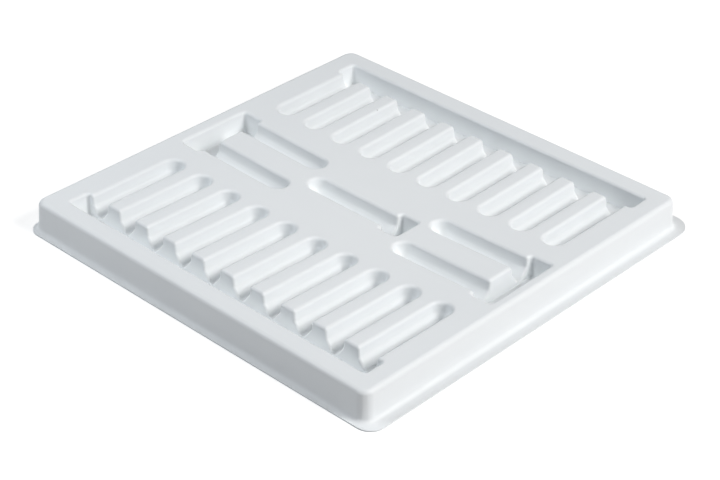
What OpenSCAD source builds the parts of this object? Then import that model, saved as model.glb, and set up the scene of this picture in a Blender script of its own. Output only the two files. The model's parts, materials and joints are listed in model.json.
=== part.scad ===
// Shallow square tray formed from one plastic sheet. The top has two combs
// of ten grooves that open into long troughs, and three single pockets
// between them. The foot turns out into a flat lip all round.

/* [Sheet] */
// Thickness of the formed sheet
sheet = 1; // [0.6:0.1:1.2]
// Height from the underside of the lip to the flat top
height = 21; // [19:0.5:40]

/* [Body] */
// Rounding along the top edge of the body
edge_radius = 2.8; // [1.4:0.2:4]
// Radius of the flat top at its four corners
top_corner = 3.5; // [2:0.5:12]
// How far the side walls spread from top to foot
skirt_spread = 0.8; // [0.4:0.2:4]
// Hollow rounding between the side walls and the lip
foot_radius = 2; // [1:0.5:3]

/* [Lip] */
// Width of the lip beyond the foot rounding, on average
lip_flat = 3.7; // [3.1:0.1:12]
// Radius of the lip at its four corners
lip_corner = 10.3; // [9.8:0.1:14]
// How far the lip is trimmed off centre along each side
trim_shift = 2.1; // [0:0.1:2.5]

/* [Grooves] */
// Width of a groove at the flat top
groove_width = 17.4; // [15:0.2:24]
// Full depth of a groove
groove_depth = 13.3; // [10:0.1:14]
// Depth at which the steep walls turn into the valley
wall_depth = 6.6; // [3:0.1:9]
// How far each steep wall leans in
wall_lean = 0.5; // [0.2:0.1:2]
// Width of the flat at the bottom of the valley
valley_flat = 1.4; // [1:0.1:4]
// Rounding along the mouth of every groove and trough
mouth_radius = 2; // [1.3:0.1:2.2]

/* [Troughs] */
// Width of the troughs of the combs and of the middle pocket
trough_width = 18.2; // [14:0.1:26]
// Width of the troughs of the two side pockets
side_trough_width = 19.4; // [14:0.2:26]
// How much deeper a trough is than its grooves
trough_step = 1.2; // [0.6:0.1:4]
// How far each trough wall leans in
trough_lean = 0.6; // [0.3:0.1:2]
// Chamfer along the floor of a trough
floor_chamfer = 0.8; // [0.3:0.1:1.5]
// Room left at the centre of each trough corner
corner_room = 0.3; // [0.2:0.1:3]

/* [Combs] */
// Number of grooves in each comb
groove_count = 10; // [3:1:12]
// Flat land between two grooves of a comb
land = 7.6; // [5:0.2:14]
// Length of a comb from trough rim to groove tip
comb_length = 84.6; // [60:0.1:120]
// How far the trough of a comb runs on past the outer grooves
comb_overhang = 4.8; // [3:0.1:12]
// Plain top in front of and behind the combs
end_margin = 9.75; // [6:0.05:30]
// Plain top between the combs and the side pockets
band = 12.8; // [4:0.1:30]

/* [Single pockets] */
// Length of each side pocket from trough rim to groove tip
side_length = 86.9; // [60:0.1:120]
// Length of the middle pocket from trough rim to groove tip
middle_length = 85.2; // [60:0.1:120]
// Distance between the two grooves of a side pocket
side_spacing = 33.75; // [28:0.25:50]
// How far these troughs run on past their grooves
overhang = 3.9; // [3:0.1:12]
// Gap along the tray between the middle and side pockets
pocket_gap = 2.25; // [2:0.05:20]
// Plain top beyond the side pockets and the ends of the combs
side_margin = 4.9; // [4:0.1:30]
// How far the whole pattern sits off the middle of the body
pattern_shift = 1.2; // [0:0.1:1.5]

/* [Output] */
// Which piece to show

/* [Hidden] */
$fn = 40;
arc_steps = 3;
over = 1;
sheet_colour = [0.93, 0.94, 0.94];

pitch = groove_width + land;
trough_depth = groove_depth + trough_step;
trough_corner = mouth_radius + trough_lean + floor_chamfer + corner_room;
comb_trough = (groove_count - 1) * pitch + groove_width + 2 * comb_overhang;
side_trough = side_spacing + groove_width + 2 * overhang;
middle_trough = groove_width + 2 * overhang;

centre_gap = side_trough + 2 * band;
row_length = 2 * side_length + middle_length + 2 * pocket_gap;
reach_x = max(row_length, comb_trough) + 2 * side_margin;
reach_y = 2 * comb_length + centre_gap + 2 * end_margin;

deep = max(height, trough_depth + 2 * sheet);
skirt_depth = deep - sheet - foot_radius;
foot_out = edge_radius + skirt_spread + foot_radius;
lip_x = reach_x + 2 * (foot_out + lip_flat);
lip_y = reach_y + 2 * (foot_out + lip_flat);

// Rounded edge that starts level and turns down, as points
function edge_arc(r) = [
    for (i = [0 : arc_steps])
        let (a = 90 * i / arc_steps)
        [r * sin(a), r * (1 - cos(a))]
];

// Hollow rounding that starts upright and ends level
function foot_arc(r) = [
    for (i = [0 : arc_steps])
        let (a = 90 * i / arc_steps)
        [r * (1 - cos(a)), r * sin(a)]
];

// Unit vector square to the line from a to b, on the under side
function under(a, b) =
    let (d = b - a)
    [-d[1], d[0]] / norm(d);

// Corner b of a line moved by t to the under side
function mitre(a, b, c, t) =
    let (s = under(a, b) + under(b, c))
    b + s * (2 * t / (s * s));

// Whole line moved by t to the under side, level at both ends
function lined(p, t) = [
    for (i = [0 : len(p) - 1])
        let (a = i == 0 ? p[0] - [1, 0] : p[i - 1])
        let (c = i == len(p) - 1 ? p[i] + [1, 0] : p[i + 1])
        mitre(a, p[i], c, t)
];

// Line from a groove rim to the bottom of its valley: [inward, down]
groove_line = concat(edge_arc(mouth_radius), [
    [mouth_radius + wall_lean, wall_depth],
    [(groove_width - valley_flat) / 2, groove_depth]
]);

// Line from a trough rim to its floor
trough_line = concat(edge_arc(mouth_radius), [
    [mouth_radius + trough_lean, trough_depth - floor_chamfer],
    [mouth_radius + trough_lean + floor_chamfer, trough_depth]
]);

// Line from the flat top to the lip: [outward, down]
body_line = concat(edge_arc(edge_radius), [
    for (q = foot_arc(foot_radius))
        q + [edge_radius + skirt_spread, skirt_depth]
]);

// Line whose last stretch runs on straight until it is lower by more
function run_on(p, more) =
    let (a = p[len(p) - 2], b = p[len(p) - 1])
    concat([for (i = [0 : len(p) - 2]) p[i]], [b + (b - a) * (more / (b[1] - a[1]))]);

// Points turned round so that a line that runs outward can be swept
function outward(p) = [for (q = p) [-q[0], q[1]]];

// Line with a first point straight above or below its start
function from_level(p, level) = concat([[p[0][0], level]], p);

// Full section between two mirrored lines
module section(line, half) {
    right = [for (q = line) [half - q[0], -q[1]]];
    left = [for (i = [len(line) - 1 : -1 : 0]) [line[i][0] - half, -line[i][1]]];
    polygon(concat(right, left));
}

// Half section that is turned about the Z axis
module half_section(line, radius) {
    edge = [for (q = line) [radius - q[0], -q[1]]];
    last = line[len(line) - 1];
    polygon(concat(edge, [[0, -last[1]], [0, -line[0][1]]]));
}

// Solid that follows a line round a rectangle with round corners
module block(line, long, wide, corner) {
    x = long / 2 - corner;
    y = wide / 2 - corner;
    rotate([90, 0, 90])
        linear_extrude(height = 2 * x, center = true)
            section(line, wide / 2);
    rotate([90, 0, 0])
        linear_extrude(height = 2 * y, center = true)
            section(line, long / 2);
    for (turn = [0 : 3])
        translate([turn % 3 == 0 ? x : -x, turn < 2 ? y : -y, 0])
            rotate([0, 0, 90 * turn])
                rotate_extrude(angle = 90)
                    half_section(line, corner);
}

// Solid that fills one groove, from y = 0 to its round tip
module groove_block(line, long) {
    half = groove_width / 2;
    straight = long - half;
    translate([0, straight, 0])
        rotate([90, 0, 0])
            linear_extrude(height = straight)
                section(line, half);
    translate([0, straight, 0])
        rotate_extrude(angle = 180)
            half_section(line, half);
}

// Solid that fills a pocket: its trough starts at y = 0
module pocket_block(lines, count, gap, long, trough_long, trough_wide) {
    translate([0, trough_wide / 2, 0])
        block(lines[1], trough_long, trough_wide, trough_corner);
    for (i = [0 : count - 1])
        translate([(i - (count - 1) / 2) * gap, trough_wide / 2, 0])
            groove_block(lines[0], long - trough_wide / 2);
}

// All five pockets as filled solids
module pocket_blocks(lines) {
    for (end = [0, 1])
        mirror([0, end, 0])
            translate([0, end_margin - reach_y / 2, 0])
                pocket_block(lines, groove_count, pitch, comb_length, comb_trough, trough_width);
    for (end = [0, 1])
        mirror([end, 0, 0])
            translate([-row_length / 2, 0, 0])
                rotate([0, 0, -90])
                    pocket_block(lines, 2, side_spacing, side_length, side_trough, side_trough_width);
    translate([middle_length / 2, 0, 0])
        rotate([0, 0, 90])
            pocket_block(lines, 1, pitch, middle_length, middle_trough, trough_width);
}

// Flat lip with round corners, centred on the origin
module lip_plate() {
    linear_extrude(height = sheet) {
        square([lip_x - 2 * lip_corner, lip_y], center = true);
        square([lip_x, lip_y - 2 * lip_corner], center = true);
        for (x = [-1, 1])
            for (y = [-1, 1])
                translate([x * (lip_x / 2 - lip_corner), y * (lip_y / 2 - lip_corner)])
                    circle(r = lip_corner);
    }
}

module tray() {
    cut_lines = [from_level(groove_line, -over), from_level(trough_line, -over)];
    under_lines = [
        from_level(lined(groove_line, sheet), sheet / 2),
        from_level(lined(trough_line, sheet), sheet / 2)
    ];
    sunk_line = concat(body_line, [[foot_out, deep - sheet / 2]]);
    hollow_line = run_on(lined(body_line, sheet), over);
    color(sheet_colour)
        difference() {
            union() {
                difference() {
                    union() {
                        lip_plate();
                        translate([-trim_shift, -trim_shift, deep])
                            block(outward(sunk_line), reach_x, reach_y, top_corner);
                    }
                    translate([-trim_shift, -trim_shift, deep])
                        block(outward(hollow_line), reach_x, reach_y, top_corner);
                }
                translate([pattern_shift - trim_shift, -trim_shift, deep])
                    pocket_blocks(under_lines);
            }
            translate([pattern_shift - trim_shift, -trim_shift, deep])
                pocket_blocks(cut_lines);
        }
}

tray();
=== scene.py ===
import json
import math

import bmesh
import bpy
from mathutils import Matrix, Vector

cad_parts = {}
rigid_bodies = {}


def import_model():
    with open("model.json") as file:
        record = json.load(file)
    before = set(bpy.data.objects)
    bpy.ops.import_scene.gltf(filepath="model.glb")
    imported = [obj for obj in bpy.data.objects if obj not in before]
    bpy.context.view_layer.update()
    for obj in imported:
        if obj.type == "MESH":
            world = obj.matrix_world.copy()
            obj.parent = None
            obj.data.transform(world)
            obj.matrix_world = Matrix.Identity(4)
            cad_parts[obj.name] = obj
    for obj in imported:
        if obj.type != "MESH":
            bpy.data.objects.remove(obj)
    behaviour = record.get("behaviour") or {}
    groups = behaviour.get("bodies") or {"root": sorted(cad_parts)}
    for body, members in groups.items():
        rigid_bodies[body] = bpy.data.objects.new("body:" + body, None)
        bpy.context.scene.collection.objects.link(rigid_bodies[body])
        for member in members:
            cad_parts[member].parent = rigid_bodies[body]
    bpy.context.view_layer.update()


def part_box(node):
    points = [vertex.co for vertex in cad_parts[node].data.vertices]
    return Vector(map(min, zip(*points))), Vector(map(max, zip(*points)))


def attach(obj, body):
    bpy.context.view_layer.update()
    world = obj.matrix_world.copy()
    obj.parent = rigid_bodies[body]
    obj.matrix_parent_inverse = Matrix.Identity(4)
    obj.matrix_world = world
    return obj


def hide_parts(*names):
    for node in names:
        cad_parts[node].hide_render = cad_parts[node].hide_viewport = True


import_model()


# The body block
# The raised part of the tray, as a solid block on its lip. The real tray is one
# plastic sheet drawn down over a mould, so this block is the mould's shape.

MM = 0.001
tray_low, tray_high = (Vector(corner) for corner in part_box("tray"))
TOP = tray_high.z
SHEET = 1.0 * MM
TRIM = 2.1 * MM
FLAT = Vector((273.3 * MM, 273.25 * MM))
TOP_SPREAD = 2.65 * MM
FOOT_SPREAD = 3.71 * MM
BODY_CORNER = 7.0 * MM
BODY_CORNER_STEPS = 8
LIP_CORNER = 10.3 * MM
LIP_CORNER_STEPS = 10
WORN_CORNER = 13.8 * MM
WORN_CORNER_STEPS = 12
NEARLY_LEVEL = 0.9


def begin():
    """Leaves edit mode and deselects everything, before a new piece is added."""
    if bpy.context.mode != "OBJECT":
        bpy.ops.object.mode_set(mode="OBJECT")
    bpy.ops.object.select_all(action="DESELECT")


def edit(piece):
    """Opens one piece in edit mode, ready to have its faces picked."""
    begin()
    piece.select_set(True)
    bpy.context.view_layer.objects.active = piece
    bpy.ops.object.mode_set(mode="EDIT")
    bpy.ops.mesh.select_mode(type="FACE")


def pick(piece, kind, wanted):
    """Selects the faces or the edges of the open piece that wanted() names."""
    bpy.ops.mesh.select_mode(type=kind)
    bpy.ops.mesh.select_all(action="DESELECT")
    mesh = bmesh.from_edit_mesh(piece.data)
    for element in mesh.faces if kind == "FACE" else mesh.edges:
        if wanted(element):
            element.select_set(True)
    bmesh.update_edit_mesh(piece.data)


def rise(edge):
    """How far an edge climbs."""
    return abs(edge.verts[0].co.z - edge.verts[1].co.z)


def round_corners(piece, wanted, radius, steps):
    """Rounds the edges of the open piece that wanted() names."""
    pick(piece, "EDGE", wanted)
    bpy.ops.mesh.bevel(offset=radius, segments=steps, affect="EDGES")


def slab(name, low, high):
    """A plain block between two corners, to be shaped further."""
    begin()
    middle = [(a + b) / 2 for a, b in zip(low, high)]
    size = [b - a for a, b in zip(low, high)]
    bpy.ops.mesh.primitive_cube_add(size=1, location=middle, scale=size)
    piece = bpy.context.object
    piece.name = name
    bpy.ops.object.transform_apply(location=True, rotation=True, scale=True)
    return piece


def apply(piece, modifier):
    """Applies one modifier to the piece."""
    begin()
    piece.select_set(True)
    bpy.context.view_layer.objects.active = piece
    bpy.ops.object.modifier_apply(modifier=modifier.name)


foot = SHEET / 2
slope = (FOOT_SPREAD - TOP_SPREAD) / (TOP - SHEET)
half_foot = FLAT / 2 + Vector((1, 1)) * (FOOT_SPREAD + slope * (SHEET - foot))
half_top = FLAT / 2 + Vector((1, 1)) * TOP_SPREAD
body_x = body_y = -TRIM
tray = slab(
    "tray_sheet",
    (body_x - half_foot.x, body_y - half_foot.y, foot),
    (body_x + half_foot.x, body_y + half_foot.y, TOP),
)
edit(tray)
pick(tray, "FACE", lambda face: face.normal.z > NEARLY_LEVEL)
bpy.ops.transform.resize(
    value=(half_top.x / half_foot.x, half_top.y / half_foot.y, 1),
    center_override=(body_x, body_y, TOP),
)
round_corners(tray, lambda edge: rise(edge) > TOP / 2, BODY_CORNER, BODY_CORNER_STEPS)
begin()


def on_worn_corner(edge):
    """Tells the lip's right back corner, which is rounder, by its place."""
    return min(edge.verts[0].co.x, edge.verts[0].co.y) > 0


lip = slab("lip_plate", (tray_low.x, tray_low.y, 0), (tray_high.x, tray_high.y, SHEET))
edit(lip)
round_corners(
    lip,
    lambda edge: rise(edge) > SHEET / 2 and on_worn_corner(edge),
    WORN_CORNER,
    WORN_CORNER_STEPS,
)
round_corners(
    lip,
    lambda edge: rise(edge) > SHEET / 2 and not on_worn_corner(edge),
    LIP_CORNER,
    LIP_CORNER_STEPS,
)
begin()


# The grooves and troughs
# Each pocket is pressed into the sheet by a raised part of the mould: a trough
# with grooves that run off it. One plug is made for each kind and copied.

PITCH = 25.0 * MM
GROOVES = 10
GROOVE_WIDTH = 17.4 * MM
GROOVE_DEPTH = 13.3 * MM
WALL_DEPTH = 6.6 * MM
WALL_LEAN = 0.5 * MM
VALLEY_RADIUS = 1.0 * MM
MOUTH_RADIUS = 2.0 * MM
TROUGH_WIDTH = 18.2 * MM
SIDE_TROUGH_WIDTH = 19.4 * MM
TROUGH_DEPTH = 14.5 * MM
TROUGH_LEAN = 0.6 * MM
TROUGH_CORNER = 2.0 * MM
TROUGH_CORNER_STEPS = 5
COMB_LENGTH = 84.6 * MM
COMB_OVERHANG = 4.8 * MM
END_MARGIN = 9.75 * MM
SIDE_LENGTH = 86.9 * MM
MIDDLE_LENGTH = 85.2 * MM
SIDE_SPACING = 33.75 * MM
OVERHANG = 3.9 * MM
ROW_LENGTH = 263.5 * MM
PATTERN_SHIFT = 1.2 * MM
PATTERN_X = body_x + PATTERN_SHIFT
PLUG_RISE = 4.0 * MM
PLUG_SIDES = 32
NEARLY_SQUARE = 0.99
HAIR = MM / 100

groove_slope = WALL_LEAN / (WALL_DEPTH - MOUTH_RADIUS)
groove_rim = GROOVE_WIDTH / 2 - MOUTH_RADIUS * (1 - groove_slope)
valley_side = GROOVE_WIDTH / 2 - MOUTH_RADIUS - WALL_LEAN
plug_rim = groove_rim + PLUG_RISE * groove_slope

begin()
bpy.ops.mesh.primitive_circle_add(
    vertices=PLUG_SIDES,
    radius=plug_rim,
    fill_type="NGON",
    location=(0, 0, PLUG_RISE),
)
groove_plug = bpy.context.object
groove_plug.name = "groove_plug"
bpy.ops.object.transform_apply(location=True)
edit(groove_plug)
bpy.ops.mesh.select_all(action="SELECT")
level, radius = PLUG_RISE, plug_rim
for depth, narrower in ((WALL_DEPTH, valley_side), (GROOVE_DEPTH, VALLEY_RADIUS)):
    bpy.ops.mesh.extrude_region_move(TRANSFORM_OT_translate={"value": (0, 0, -depth - level)})
    bpy.ops.transform.resize(
        value=(narrower / radius, narrower / radius, 1),
        center_override=(0, 0, -depth),
    )
    level, radius = -depth, narrower
bpy.ops.mesh.select_all(action="SELECT")
bpy.ops.mesh.bisect(plane_co=(0, 0, 0), plane_no=(0, 1, 0), clear_inner=True)
pick(groove_plug, "EDGE", lambda edge: len(edge.link_faces) == 1)
bpy.ops.mesh.edge_face_add()
pick(
    groove_plug,
    "FACE",
    lambda face: abs(face.normal.y) > NEARLY_SQUARE and abs(face.calc_center_median().y) < HAIR,
)
straight = COMB_LENGTH - GROOVE_WIDTH / 2 - TROUGH_WIDTH / 2
bpy.ops.mesh.extrude_region_move(TRANSFORM_OT_translate={"value": (0, -straight, 0)})
bpy.ops.mesh.select_all(action="SELECT")
bpy.ops.mesh.normals_make_consistent(inside=False)
begin()


def trough_plug(name, long, wide):
    """A plug that fills one trough. It lies along X and starts at y = 0."""
    slope = TROUGH_LEAN / (TROUGH_DEPTH - MOUTH_RADIUS)
    inset = MOUTH_RADIUS * (1 - slope)
    half_x, half_y = long / 2 - inset, wide / 2 - inset
    high, deep = slope * PLUG_RISE, slope * TROUGH_DEPTH
    plug = slab(
        name,
        (-half_x - high, wide / 2 - half_y - high, -TROUGH_DEPTH),
        (half_x + high, wide / 2 + half_y + high, PLUG_RISE),
    )
    edit(plug)
    pick(plug, "FACE", lambda face: face.normal.z < -NEARLY_LEVEL)
    bpy.ops.transform.resize(
        value=((half_x - deep) / (half_x + high), (half_y - deep) / (half_y + high), 1),
        center_override=(0, wide / 2, -TROUGH_DEPTH),
    )
    round_corners(plug, lambda edge: rise(edge) > TROUGH_DEPTH, TROUGH_CORNER, TROUGH_CORNER_STEPS)
    begin()
    return plug


comb_trough = trough_plug(
    "comb_trough_plug",
    (GROOVES - 1) * PITCH + GROOVE_WIDTH + 2 * COMB_OVERHANG,
    TROUGH_WIDTH,
)
side_trough = trough_plug(
    "side_trough_plug",
    SIDE_SPACING + GROOVE_WIDTH + 2 * OVERHANG,
    SIDE_TROUGH_WIDTH,
)
middle_trough = trough_plug(
    "middle_trough_plug",
    GROOVE_WIDTH + 2 * OVERHANG,
    TROUGH_WIDTH,
)

plugs = bpy.data.collections.new("plugs")
bpy.context.scene.collection.children.link(plugs)


def place(plug, x, y, turn):
    """Puts a copy of a plug at a place on the tray's top, turned about Z."""
    begin()
    copy = plug.copy()
    copy.data = plug.data.copy()
    plugs.objects.link(copy)
    copy.select_set(True)
    bpy.context.view_layer.objects.active = copy
    copy.location = (x, y, TOP)
    copy.rotation_euler = (0, 0, turn)
    bpy.ops.object.transform_apply(location=True, rotation=True, scale=True)


def press_pocket(trough, x, y, turn, length, lanes):
    """A whole pocket from its trough's rim at x, y, its grooves turned about Z."""
    place(trough, x, y, turn)
    along = Vector((-math.sin(turn), math.cos(turn)))
    across = Vector((math.cos(turn), math.sin(turn)))
    for lane in lanes:
        tip = Vector((x, y)) + along * (length - GROOVE_WIDTH / 2) + across * lane
        place(groove_plug, tip.x, tip.y, turn)


comb_lanes = [(i - (GROOVES - 1) / 2) * PITCH for i in range(GROOVES)]
side_lanes = [-SIDE_SPACING / 2, SIDE_SPACING / 2]
comb_y = FLAT.y / 2 - END_MARGIN
press_pocket(comb_trough, PATTERN_X, body_y - comb_y, 0, COMB_LENGTH, comb_lanes)
press_pocket(comb_trough, PATTERN_X, body_y + comb_y, math.pi, COMB_LENGTH, comb_lanes)
row_x = ROW_LENGTH / 2
press_pocket(side_trough, PATTERN_X - row_x, body_y, -math.pi / 2, SIDE_LENGTH, side_lanes)
press_pocket(side_trough, PATTERN_X + row_x, body_y, math.pi / 2, SIDE_LENGTH, side_lanes)
press_pocket(middle_trough, PATTERN_X + MIDDLE_LENGTH / 2, body_y, math.pi / 2, MIDDLE_LENGTH, [0])
for plug in (groove_plug, comb_trough, side_trough, middle_trough):
    bpy.data.objects.remove(plug)


# The formed sheet
# One white plastic sheet takes the shape of body, pockets and lip together. Its
# edges are soft, it is thin all over, and its middle has sunk a few millimetres.

SAG = 3.35 * MM
CELLS = 23
SHARP_CREASE = math.radians(40)
LIP_LEVEL = SHEET * 1.001
TURNED_UP = 0.5
cut = tray.modifiers.new("pockets", "BOOLEAN")
cut.operation = "DIFFERENCE"
cut.solver = "EXACT"
cut.operand_type = "COLLECTION"
cut.collection = plugs
apply(tray, cut)
joined = tray.modifiers.new("lip", "BOOLEAN")
joined.operation = "UNION"
joined.solver = "EXACT"
joined.object = lip
apply(tray, joined)
for plug in list(plugs.objects) + [lip]:
    bpy.data.objects.remove(plug)
bpy.data.collections.remove(plugs)

edit(tray)
pick(
    tray,
    "FACE",
    lambda face: max(v.co.z for v in face.verts) < LIP_LEVEL and face.normal.z < TURNED_UP,
)
bpy.ops.mesh.delete(type="FACE")
begin()

BODY_EDGE = 2.8 * MM
FOOT_EDGE = 2.8 * MM
MOUTH_EDGE = 2.0 * MM
KINK_EDGE = 1.1 * MM
VALLEY_EDGE = 0.9 * MM
CORNER_EDGE = 1.5 * MM
SPILL_EDGE = 1.5 * MM
STEP_EDGE = 0.45 * MM
FLOOR_EDGE = 0.55 * MM
EDGE_STEPS = 4
LEAST_TURN = math.radians(25)
WALL_REACH = FLAT.x / 2 - 2 * MM
LEVEL_ROOM = MM / 10
BAND_ROOM = MM / 3


def softness(edge):
    """How wide an edge of the sheet is rounded, by where it lies."""
    turn = edge.calc_face_angle_signed()
    if abs(turn) < LEAST_TURN:
        return 0
    levels = [TOP - v.co.z for v in edge.verts]
    depth = sum(levels) / 2
    reach = max(max(abs(v.co.x - body_x), abs(v.co.y - body_y)) for v in edge.verts)
    if reach > WALL_REACH:
        return BODY_EDGE if depth < TOP / 2 else FOOT_EDGE
    if depth < LEVEL_ROOM:
        return MOUTH_EDGE
    if turn > 0:
        if min(levels) < WALL_DEPTH - LEVEL_ROOM:
            return CORNER_EDGE
        return STEP_EDGE if min(levels) > GROOVE_DEPTH - LEVEL_ROOM else SPILL_EDGE
    if depth < WALL_DEPTH + BAND_ROOM:
        return KINK_EDGE
    return VALLEY_EDGE if depth < GROOVE_DEPTH + BAND_ROOM else FLOOR_EDGE


mesh = bmesh.new()
mesh.from_mesh(tray.data)
weights = mesh.edges.layers.float.new("bevel_weight_edge")
for edge in mesh.edges:
    if len(edge.link_faces) == 2:
        edge[weights] = softness(edge) / FOOT_EDGE
mesh.to_mesh(tray.data)
mesh.free()
rounding = tray.modifiers.new("rounding", "BEVEL")
rounding.limit_method = "WEIGHT"
rounding.width = FOOT_EDGE
rounding.segments = EDGE_STEPS
rounding.use_clamp_overlap = False
rounding.loop_slide = False
apply(tray, rounding)

# Faces with many sides are split first, or the cuts would fold the hollow ones.
edit(tray)
pick(tray, "FACE", lambda face: len(face.verts) > 4)
bpy.ops.mesh.quads_convert_to_tris(quad_method="BEAUTY", ngon_method="BEAUTY")
for i in range(CELLS + 1):
    for axis in (0, 1):
        point = [body_x, body_y, 0]
        point[axis] += FLAT[axis] * (i / CELLS - 0.5)
        normal = [0, 0, 0]
        normal[axis] = 1
        bpy.ops.mesh.select_all(action="SELECT")
        bpy.ops.mesh.bisect(plane_co=point, plane_no=normal)
begin()
for vertex in tray.data.vertices:
    u = (vertex.co.x - body_x) / FLAT.x
    v = (vertex.co.y - body_y) / FLAT.y
    if abs(u) < 0.5 and abs(v) < 0.5:
        vertex.co.z -= SAG * math.cos(math.pi * u) * math.cos(math.pi * v)

thickness = tray.modifiers.new("thickness", "SOLIDIFY")
thickness.thickness = SHEET
thickness.offset = -1
thickness.use_even_offset = False
apply(tray, thickness)
bpy.ops.object.shade_smooth_by_angle(angle=SHARP_CREASE)
even = tray.modifiers.new("even_shading", "WEIGHTED_NORMAL")
even.keep_sharp = True
apply(tray, even)

TOP_WHITE = (0.745, 0.775, 0.800)
TOP_WHITE_CLOUD = (0.760, 0.790, 0.812)
# Lighter copies of the white: painted light for deep in the pockets and at the outer wall's foot.
PAINTED_LIGHT_WHITE = (0.830, 0.858, 0.872)
PAINTED_LIGHT_WHITE_CLOUD = (0.844, 0.868, 0.880)
CLOUD_SCALE = 22
CLOUD_DETAIL = 2
POCKET_REACH = 132 * MM
POCKET_REACH_END = POCKET_REACH + 2 * MM
# Heights over which the painted light at the foot and in the pockets fades out.
FOOT_LEVELS = (0.5 * MM, 8 * MM)
FOOT_SHARE = 0.75
PAINTED_LIGHT_LEVELS = (9 * MM, 20 * MM)
SPECK = (-71.3 * MM, 89.5 * MM, 19.5 * MM)
SPECK_GREY = (0.50, 0.51, 0.52)
SPECK_RADIUS = 0.4 * MM
SPECK_END = 0.7 * MM
SHEEN_SCALE = 60
SHEEN_DETAIL = 3
SHEEN_GRAIN = (0.3, 0.7)
ROUGHNESS = (0.46, 0.60)
PEEL_SCALE = 320
PEEL_STRENGTH = 0.35
PEEL_HEIGHT = 0.05 * MM
FINE_SCALE = 2600
FINE_STRENGTH = 0.25
FINE_HEIGHT = 0.01 * MM
TEXTURE_DETAIL = 2


def grain(tree, place, scale, detail):
    """A noise laid over a whole piece; scale is in patches to a metre."""
    noise = tree.nodes.new("ShaderNodeTexNoise")
    noise.inputs["Scale"].default_value = scale
    noise.inputs["Detail"].default_value = detail
    tree.links.new(place, noise.inputs["Vector"])
    return noise.outputs["Fac"]


def blend(tree, factor, first, second):
    """Mixes two colours, or what the nodes give for them, by a factor."""
    mix = tree.nodes.new("ShaderNodeMix")
    mix.data_type = "RGBA"
    tree.links.new(factor, mix.inputs["Factor"])
    for socket, colour in ((mix.inputs[6], first), (mix.inputs[7], second)):
        if isinstance(colour, tuple):
            socket.default_value = (*colour, 1)
        else:
            tree.links.new(colour, socket)
    return mix.outputs[2]


def spread(tree, value, ends, new_ends):
    """Maps a value from one range to another and stops at its ends."""
    ramp = tree.nodes.new("ShaderNodeMapRange")
    names = ("From Min", "From Max", "To Min", "To Max")
    for name, number in zip(names, (*ends, *new_ends)):
        ramp.inputs[name].default_value = number
    tree.links.new(value, ramp.inputs["Value"])
    return ramp.outputs["Result"]


def work_out(tree, operation, *values):
    """Does one sum on what the nodes give; a value may be a plain number."""
    step = tree.nodes.new("ShaderNodeMath")
    step.operation = operation
    for socket, value in zip(step.inputs, values):
        if isinstance(value, float):
            socket.default_value = value
        else:
            tree.links.new(value, socket)
    return step.outputs[0]


def texture(tree, height, strength, distance):
    """A bump that follows a height."""
    bump = tree.nodes.new("ShaderNodeBump")
    bump.inputs["Strength"].default_value = strength
    bump.inputs["Distance"].default_value = distance
    tree.links.new(height, bump.inputs["Height"])
    return bump


plastic = bpy.data.materials.new("white_formed_plastic")
plastic.use_nodes = True
tree = plastic.node_tree
skin = tree.nodes["Principled BSDF"]
place_on_tray = tree.nodes.new("ShaderNodeTexCoord").outputs["Object"]
split = tree.nodes.new("ShaderNodeSeparateXYZ")
tree.links.new(place_on_tray, split.inputs["Vector"])

# Painted light: the colour is made lighter deep in the pockets and, less so, at the foot of the
# outer wall.
off_middle = work_out(
    tree,
    "MAXIMUM",
    work_out(tree, "ABSOLUTE", split.outputs["X"]),
    work_out(tree, "ABSOLUTE", split.outputs["Y"]),
)
outside = spread(tree, off_middle, (POCKET_REACH, POCKET_REACH_END), (0, 1))
up_the_wall = spread(tree, split.outputs["Z"], FOOT_LEVELS, (FOOT_SHARE, 1))
rim = work_out(tree, "MULTIPLY", outside, up_the_wall)
near_top = spread(tree, split.outputs["Z"], PAINTED_LIGHT_LEVELS, (0, 1))
unbrightened = work_out(tree, "MAXIMUM", rim, near_top)
clouds = grain(tree, place_on_tray, CLOUD_SCALE, CLOUD_DETAIL)
painted_light_colour = blend(tree, clouds, PAINTED_LIGHT_WHITE, PAINTED_LIGHT_WHITE_CLOUD)
top_shade = blend(tree, clouds, TOP_WHITE, TOP_WHITE_CLOUD)
sheet_colour = blend(tree, unbrightened, painted_light_colour, top_shade)

speck_distance = tree.nodes.new("ShaderNodeVectorMath")
speck_distance.operation = "DISTANCE"
speck_distance.inputs[1].default_value = SPECK
tree.links.new(place_on_tray, speck_distance.inputs[0])
off_speck = spread(tree, speck_distance.outputs["Value"], (SPECK_RADIUS, SPECK_END), (0, 1))
tree.links.new(blend(tree, off_speck, SPECK_GREY, sheet_colour), skin.inputs["Base Color"])

sheen = grain(tree, place_on_tray, SHEEN_SCALE, SHEEN_DETAIL)
tree.links.new(spread(tree, sheen, SHEEN_GRAIN, ROUGHNESS), skin.inputs["Roughness"])
peel_grain = grain(tree, place_on_tray, PEEL_SCALE, TEXTURE_DETAIL)
peel = texture(tree, peel_grain, PEEL_STRENGTH, PEEL_HEIGHT)
fine_grain = grain(tree, place_on_tray, FINE_SCALE, TEXTURE_DETAIL)
fine = texture(tree, fine_grain, FINE_STRENGTH, FINE_HEIGHT)
tree.links.new(peel.outputs["Normal"], fine.inputs["Normal"])
tree.links.new(fine.outputs["Normal"], skin.inputs["Normal"])
tray.data.materials.clear()
tray.data.materials.append(plastic)

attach(tray, "root")
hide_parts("tray")


# The floor
# A wide flat board that the tray stands on. It is pale grey under the lamps and
# glows white only where it is looked at, so the tray's soft shadow still shows.

FLOOR_SIZE = 8
FLOOR_PALE = (0.57, 0.57, 0.57)
FLOOR_PALER = (0.59, 0.59, 0.59)
FLOOR_ROUGHNESS = 0.9
FLOOR_GLOW = 0.6
FIBRE_SCALE = 40
FIBRE_DETAIL = 2


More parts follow.
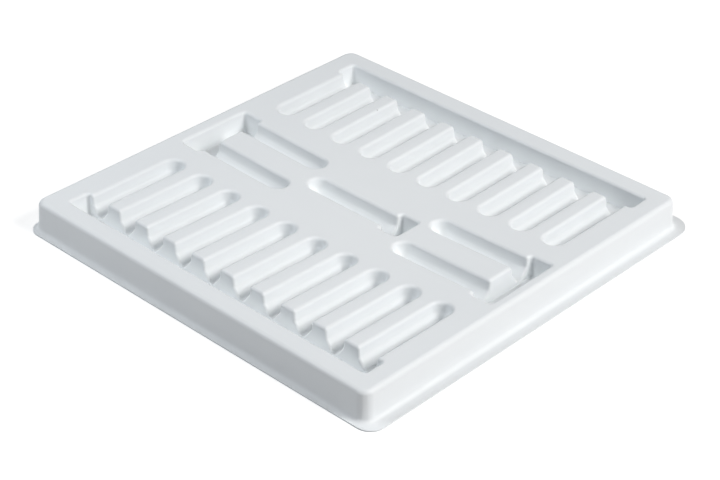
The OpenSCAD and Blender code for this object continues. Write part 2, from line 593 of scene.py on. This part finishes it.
def looked_at(tree):
    """Gives 1 on what the camera sees, also in a gloss or through glass, else 0."""
    path = tree.nodes.new("ShaderNodeLightPath")
    seen = path.outputs["Is Camera Ray"]
    for ray in ("Is Glossy Ray", "Is Transmission Ray"):
        seen = work_out(tree, "MAXIMUM", seen, path.outputs[ray])
    return seen


begin()
bpy.ops.mesh.primitive_plane_add(size=FLOOR_SIZE, location=(0, 0, 0))
floor = bpy.context.object
floor.name = "floor"
board = bpy.data.materials.new("white_board")
board.use_nodes = True
tree = board.node_tree
board_skin = tree.nodes["Principled BSDF"]
board_skin.inputs["Roughness"].default_value = FLOOR_ROUGHNESS
board_skin.inputs["Emission Color"].default_value = (1, 1, 1, 1)
place_on_floor = tree.nodes.new("ShaderNodeTexCoord").outputs["Object"]
fibres = grain(tree, place_on_floor, FIBRE_SCALE, FIBRE_DETAIL)
tree.links.new(blend(tree, fibres, FLOOR_PALE, FLOOR_PALER), board_skin.inputs["Base Color"])
glow = work_out(tree, "MULTIPLY", looked_at(tree), FLOOR_GLOW)
tree.links.new(glow, board_skin.inputs["Emission Strength"])
floor.data.materials.append(board)


# The light and the camera
# A soft key lamp and a lower one beside it on the right, and two weaker lamps on
# the left and the front left. The room looks white and gives only a little light.

ROOM_LIGHT = 0.1
ROOM_WHITE = 1.0
WARM_TINT = (1.0, 0.98, 0.96)
COOL_TINT = (0.97, 1.0, 1.03)

world = bpy.data.worlds.new("room")
bpy.context.scene.world = world
world.use_nodes = True
tree = world.node_tree
room = tree.nodes["Background"]
room.inputs["Color"].default_value = (1, 1, 1, 1)
brightness = spread(tree, looked_at(tree), (0, 1), (ROOM_LIGHT, ROOM_WHITE))
tree.links.new(brightness, room.inputs["Strength"])


def lamp(name, toward, distance, size, power, tint):
    """A square soft lamp that shines on the tray's middle from one direction."""
    begin()
    spot = Vector(toward).normalized() * distance
    bpy.ops.object.light_add(type="AREA", location=spot)
    light = bpy.context.object
    light.name = name
    light.data.size = size
    light.data.energy = power
    light.data.color = tint
    light.rotation_euler = spot.to_track_quat("Z", "Y").to_euler()


lamp("key_lamp", toward=(0.74, 0.22, 0.68), distance=2.0, size=0.7, power=28.5, tint=WARM_TINT)
lamp("low_lamp", toward=(0.90, 0.20, 0.36), distance=2.0, size=0.6, power=6.8, tint=WARM_TINT)
lamp("left_lamp", toward=(-1.0, -0.25, 0.5), distance=1.2, size=0.6, power=1.2, tint=COOL_TINT)
lamp("front_lamp", toward=(-0.52, -0.70, 0.95), distance=1.15, size=0.45, power=4.8, tint=COOL_TINT)

AZIMUTH = math.radians(43.288)
ELEVATION = math.radians(32.947)
ROLL = math.radians(0.666)
AIM = Vector((30.94, -34.20, 20.95)) * MM
CAMERA_DISTANCE = 1181.55
LENS = 99.70
FILM_WIDTH = 36
NEAREST_SEEN = 0.01

back = Vector((
    math.sin(AZIMUTH) * math.cos(ELEVATION),
    -math.cos(AZIMUTH) * math.cos(ELEVATION),
    math.sin(ELEVATION),
))
level_right = Vector((math.cos(AZIMUTH), math.sin(AZIMUTH), 0))
level_up = back.cross(level_right)
right = math.cos(ROLL) * level_right + math.sin(ROLL) * level_up
up = math.cos(ROLL) * level_up - math.sin(ROLL) * level_right
begin()
bpy.ops.object.camera_add()
camera = bpy.context.object
camera.name = "camera"
turned = Matrix((right, up, back)).transposed().to_4x4()
camera.matrix_world = Matrix.Translation(AIM + back * CAMERA_DISTANCE * MM) @ turned
camera.data.lens = LENS
camera.data.sensor_width = FILM_WIDTH
camera.data.clip_start = NEAREST_SEEN
bpy.context.scene.camera = camera
bpy.context.scene.view_settings.view_transform = "Standard"
